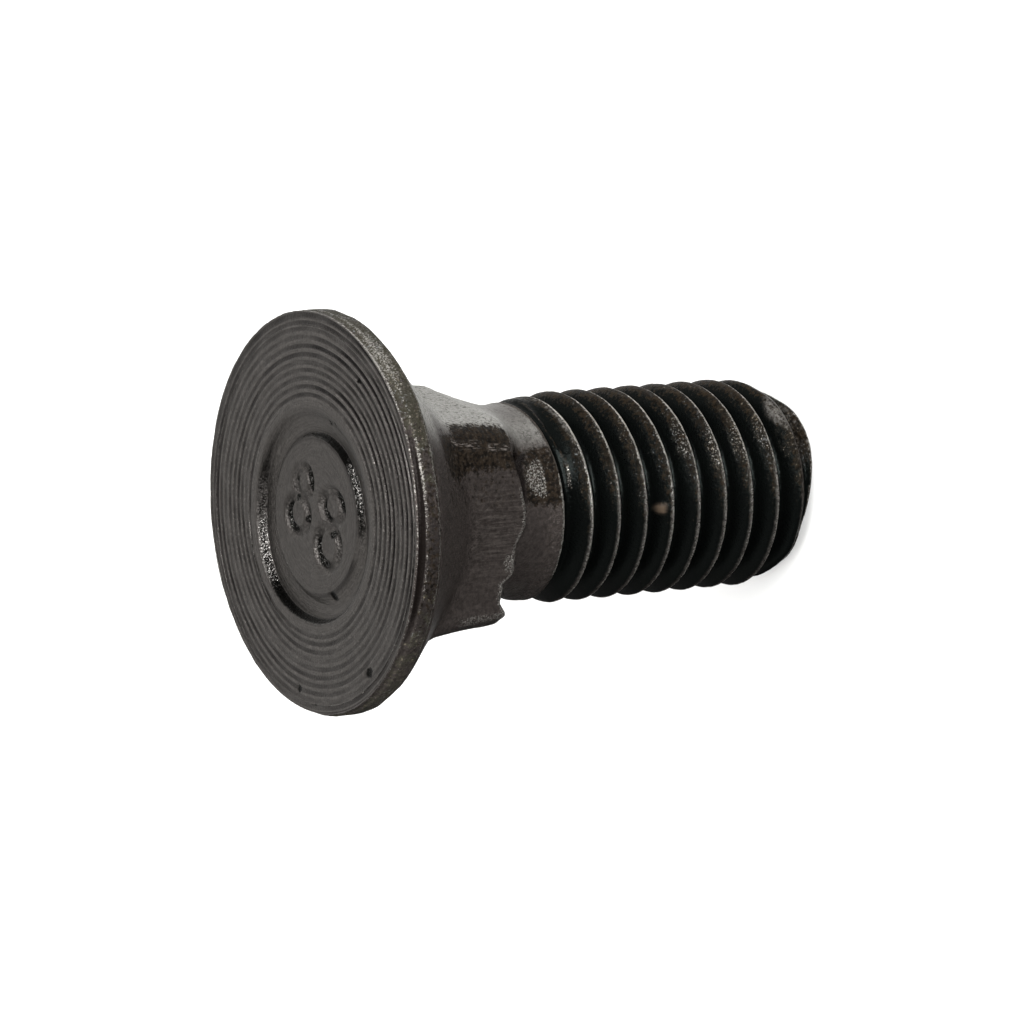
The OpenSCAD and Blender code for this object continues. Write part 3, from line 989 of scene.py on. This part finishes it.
# Lines that a shearing die drags along the bolt.
along_bolt = (1, 1, 0.07)
drag_lines, given, made = new_group(
    "drag_lines", [("Place", "Vector"), ("Fineness", "Float")], [("Lines", "Float")])
stretched = vector_calc(drag_lines, "MULTIPLY", given["Place"], along_bolt)
drag_noise = noise_at(drag_lines, stretched, given["Fineness"], 3.0, 0.7)
drag_lines.links.new(remap(drag_lines, drag_noise, 0.32, 0.68), made["Lines"])

# Fine lines that the lathe tool leaves between its deeper marks.
turned_lines, given, made = new_group(
    "turned_lines", [("Place", "Vector"), ("Fineness", "Float")], [("Lines", "Float")])
flat_place = vector_calc(turned_lines, "MULTIPLY", given["Place"], (1, 1, 0))
from_axis = add(turned_lines, "ShaderNodeVectorMath", {"operation": "LENGTH"},
                _0=flat_place).outputs["Value"]
slow = noise_at(turned_lines, flat_place, 0.5, 2.0, 0.5)
across_lines = add(turned_lines, "ShaderNodeCombineXYZ", {}, X=from_axis, Y=slow).outputs[0]
line_noise = noise_at(turned_lines, across_lines, given["Fineness"], 2.0, 0.6)
turned_lines.links.new(remap(turned_lines, line_noise, 0.3, 0.7), made["Lines"])

# Colours that the three finishes share.
pit_black = (0.016, 0.014, 0.01)
# Painted shade, for the darkening mask.
groove_black = (0.014, 0.012, 0.012)
smear_black = (0.014, 0.011, 0.009)
drag_grey = (0.12, 0.105, 0.095)
fleck_grey = (0.17, 0.155, 0.14)
# Speck colours, also the colour of the painted highlights on the crests.
cool_speck = (0.15, 0.16, 0.165)
warm_speck = (0.16, 0.135, 0.1)
lint_tan = (0.062, 0.045, 0.032)
bump_height = 0.03 * MM


def placed(tree, group, **inputs):
    """A shared effect placed in a material."""
    return add(tree, "ShaderNodeGroup", {"node_tree": group}, **inputs).outputs


def steel(name, base, bright, pale_grey, brown, oil, dust, rough, fineness, bump, matt,
          oil_breakup, edge, turned):
    """One finish of the blackened steel, with its masks read from the skin."""
    material = bpy.data.materials.new(name)
    material.use_nodes = True
    tree = material.node_tree
    shader = tree.nodes["Principled BSDF"]

    def times(one, two, clamp=True):
        return calc(tree, "MULTIPLY", one, two, clamp)

    def plus(one, two, clamp=True):
        return calc(tree, "ADD", one, two, clamp)

    def minus(one, two):
        return calc(tree, "SUBTRACT", one, two)

    skin = {mask: add(tree, "ShaderNodeAttribute", {"attribute_name": mask}).outputs["Fac"]
            for mask in finishes}
    where = tree.nodes.new("ShaderNodeTexCoord").outputs["Object"]
    place = add(tree, "ShaderNodeVectorMath", {"operation": "SCALE"}, _0=where,
                Scale=1 / MM).outputs[0]
    grain = placed(tree, steel_grain, Place=place, Fineness=fineness)
    lines = placed(tree, drag_lines, Place=place, Fineness=9.0)["Lines"]
    worn, oily, browned, dusted = (
        placed(tree, patchy, Mask=skin[mask], Place=place, Size=size, Breakup=breakup)["Mask"]
        for mask, size, breakup in (("wear", 12.0, 3.8), ("oil", 4.0, oil_breakup),
                                    ("brown", 5.0, 2.8), ("dust", 2.2, 3.2)))

    tone = grain["Tone"]
    if turned:
        rings_cut = placed(tree, turned_lines, Place=place, Fineness=11.0)["Lines"]
        tone = plus(times(tone, 0.5), times(rings_cut, 0.5))
    colour = colour_mix(tree, tone, tuple(0.7 * c for c in base), tuple(1.3 * c for c in base))
    pale = times(skin["pale"], remap(tree, grain["Tone"], 0.0, 0.7, 0.5, 1.0))
    pitted = times(skin["scale"], grain["Pits"])
    film_colour = colour_mix(tree, remap(tree, grain["Tone"], 0.25, 0.75),
                             tuple(0.35 * c for c in brown), tuple(1.5 * c for c in brown))
    # Drag lines are bare where they stand out and dark between, and scratches are barer still.
    dragged = times(skin["drag"], remap(tree, lines, 0.55, 0.95))
    dragged = times(dragged, plus(times(minus(skin["drag"], 1.0), 0.4), 0.32))
    smeared = times(skin["drag"], remap(tree, lines, 0.5, 0.1))
    flecked = times(times(grain["Flecks"], skin["scale"]), minus(1.0, oily))
    specks = times(times(dusted, grain["Flecks"]), 0.8)
    warmth = remap(tree, noise_at(tree, place, 0.45, 2.0, 0.5), 0.42, 0.58)
    speck_colour = colour_mix(tree, warmth, cool_speck, warm_speck)
    # From the steel outwards, how far each colour covers those under it.
    for share, layer in (
            (pale, pale_grey), (times(pitted, 0.85), pit_black),
            (times(skin["groove"], 0.9), groove_black), (oily, oil), (browned, film_colour),
            (dragged, drag_grey), (times(smeared, 0.5), smear_black),
            (times(flecked, 0.5), fleck_grey), (times(dusted, 0.7), dust),
            (specks, speck_colour), (worn, bright), (skin["lint"], lint_tan)):
        colour = colour_mix(tree, share, colour, layer)
    tree.links.new(colour, shader.inputs["Base Color"])

    film = calc(tree, "MAXIMUM", browned, dusted)
    bare = times(1 - matt, minus(1.0, times(film, 0.85)))
    bare = times(bare, minus(1.0, pitted))
    metal = minus(calc(tree, "MAXIMUM", bare, worn), skin["lint"])
    tree.links.new(metal, shader.inputs["Metallic"])
    roughness = plus(times(grain["Tone"], 0.16), rough)
    roughness = minus(roughness, times(oily, 0.14))
    roughness = plus(roughness, times(film, 0.25))
    roughness = plus(roughness, times(pitted, 0.3))
    tree.links.new(roughness, shader.inputs["Roughness"])
    shader.inputs["Specular IOR Level"].default_value = 0.1
    shader.inputs["Specular Tint"].default_value = (edge, edge, edge, 1)

    relief = times(grain["Height"], plus(skin["scale"], 0.2, False), False)
    relief = plus(relief, times(lines, skin["drag"], False), False)
    if turned:
        relief = plus(relief, times(rings_cut, 0.35), False)
    bumper = add(tree, "ShaderNodeBump", Strength=bump, Distance=bump_height, Height=relief)
    tree.links.new(bumper.outputs["Normal"], shader.inputs["Normal"])
    return material


turned_steel = steel(
    "turned_black_steel", base=(0.126, 0.117, 0.11), bright=(0.36, 0.345, 0.33),
    pale_grey=(0.3, 0.278, 0.262), brown=(0.02, 0.012, 0.008), oil=(0.0062, 0.006, 0.0054),
    dust=(0.02, 0.017, 0.012), rough=0.28, fineness=5.5, bump=0.9, matt=0.0, oil_breakup=0.7,
    edge=1.0, turned=True)
forged_steel = steel(
    "forged_black_steel", base=(0.04, 0.0335, 0.031), bright=(0.36, 0.345, 0.32),
    pale_grey=(0.265, 0.263, 0.247), brown=(0.0095, 0.0065, 0.004), oil=(0.0075, 0.0058, 0.0052),
    dust=(0.025, 0.024, 0.016), rough=0.3, fineness=4.5, bump=1.0, matt=0.55, oil_breakup=0.7,
    edge=0.8, turned=False)
rolled_steel = steel(
    "rolled_black_steel", base=(0.06, 0.053, 0.047), bright=(0.6, 0.58, 0.54),
    pale_grey=(0.17, 0.165, 0.155), brown=(0.0095, 0.0067, 0.004), oil=(0.006, 0.0072, 0.0068),
    dust=(0.006, 0.0053, 0.004), rough=0.24, fineness=4.5, bump=1.0, matt=0.3, oil_breakup=0.5,
    edge=0.35, turned=False)
for finish in (turned_steel, forged_steel, rolled_steel):
    bolt_mesh.materials.append(finish)

bolt = bpy.data.objects.new("bolt_skin", bolt_mesh)
scene.collection.objects.link(bolt)
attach(bolt, "root")
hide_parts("bolt")

# Size of the dressed bolt; the hidden solid is left out.
low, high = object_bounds()
